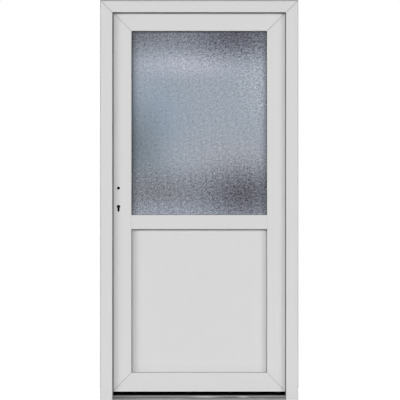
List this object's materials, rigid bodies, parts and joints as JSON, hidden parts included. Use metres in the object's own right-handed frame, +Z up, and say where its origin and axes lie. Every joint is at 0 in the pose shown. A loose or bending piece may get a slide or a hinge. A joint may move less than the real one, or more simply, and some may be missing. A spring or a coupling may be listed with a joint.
{
  "type": "side door",
  "caption": "White plastic side entrance door with an obscure-glass upper field, a flat panel below and a low aluminium threshold, opening inwards.",
  "frame": {"origin": "middle of the threshold's underside, halfway through the frame's depth", "axes": "+X right as seen from outside, +Y into the house, +Z up"},
  "size_m": [0.98, 0.105, 1.98],
  "materials": {
    "white_pvc": "satin-gloss white extruded PVC",
    "white_panel": "satin white PVC sheet",
    "grey_gasket": "matt grey sealing rubber",
    "black_seal": "matt black sealing rubber",
    "ornamental_glass": "obscure, finely crinkled",
    "clear_glass": "clear float",
    "spacer_aluminium": "rolled",
    "mill_aluminium": "mill finish, drawn lengthwise",
    "core_plastic": "matt grey plastic",
    "zinc_steel": "zinc plated, satin",
    "dark_steel": "black-oxidised steel",
    "white_hinge_metal": "white powder coat"
  },
  "bodies": {
    "frame": {"lock_jamb": "white_pvc", "hinge_jamb": "white_pvc", "frame_head": "white_pvc", "head_seal": "black_seal", "strike_plate": "zinc_steel", "frame_gasket": "grey_gasket", "threshold_sill": "mill_aluminium", "threshold_core": "core_plastic", "threshold_tread": "mill_aluminium", "lower_hinge_frame_part": "white_hinge_metal", "lower_hinge_pin": "zinc_steel", "middle_hinge_frame_part": "white_hinge_metal", "middle_hinge_pin": "zinc_steel", "upper_hinge_frame_part": "white_hinge_metal", "upper_hinge_pin": "zinc_steel"},
    "leaf": {"lock_stile": "white_pvc", "hinge_stile": "white_pvc", "top_rail": "white_pvc", "bottom_rail": "white_pvc", "mid_rail": "white_pvc", "leaf_gasket": "grey_gasket", "bottom_seal": "black_seal", "outer_pane": "ornamental_glass", "inner_pane": "clear_glass", "spacer_bar": "spacer_aluminium", "lower_panel": "white_panel", "lock_case": "dark_steel", "lock_follower": "dark_steel", "lock_faceplate": "zinc_steel", "latch_bolt": "zinc_steel", "dead_bolt": "zinc_steel", "glass_outer_gasket": "grey_gasket", "glass_inner_gasket": "grey_gasket", "glass_bead_left": "white_pvc", "glass_bead_right": "white_pvc", "glass_bead_top": "white_pvc", "glass_bead_bottom": "white_pvc", "panel_outer_gasket": "grey_gasket", "panel_inner_gasket": "grey_gasket", "panel_bead_left": "white_pvc", "panel_bead_right": "white_pvc", "panel_bead_top": "white_pvc", "panel_bead_bottom": "white_pvc", "lower_hinge_leaf_part": "white_hinge_metal", "middle_hinge_leaf_part": "white_hinge_metal", "upper_hinge_leaf_part": "white_hinge_metal"}
  },
  "joints": [
    {"name": "leaf_swing", "type": "hinge", "parent": "frame", "child": "leaf", "pos_m": [0.4764, 0.06, 0.9875], "axis": [0, 0, -1], "range_deg": [0, 110]}
  ]
}
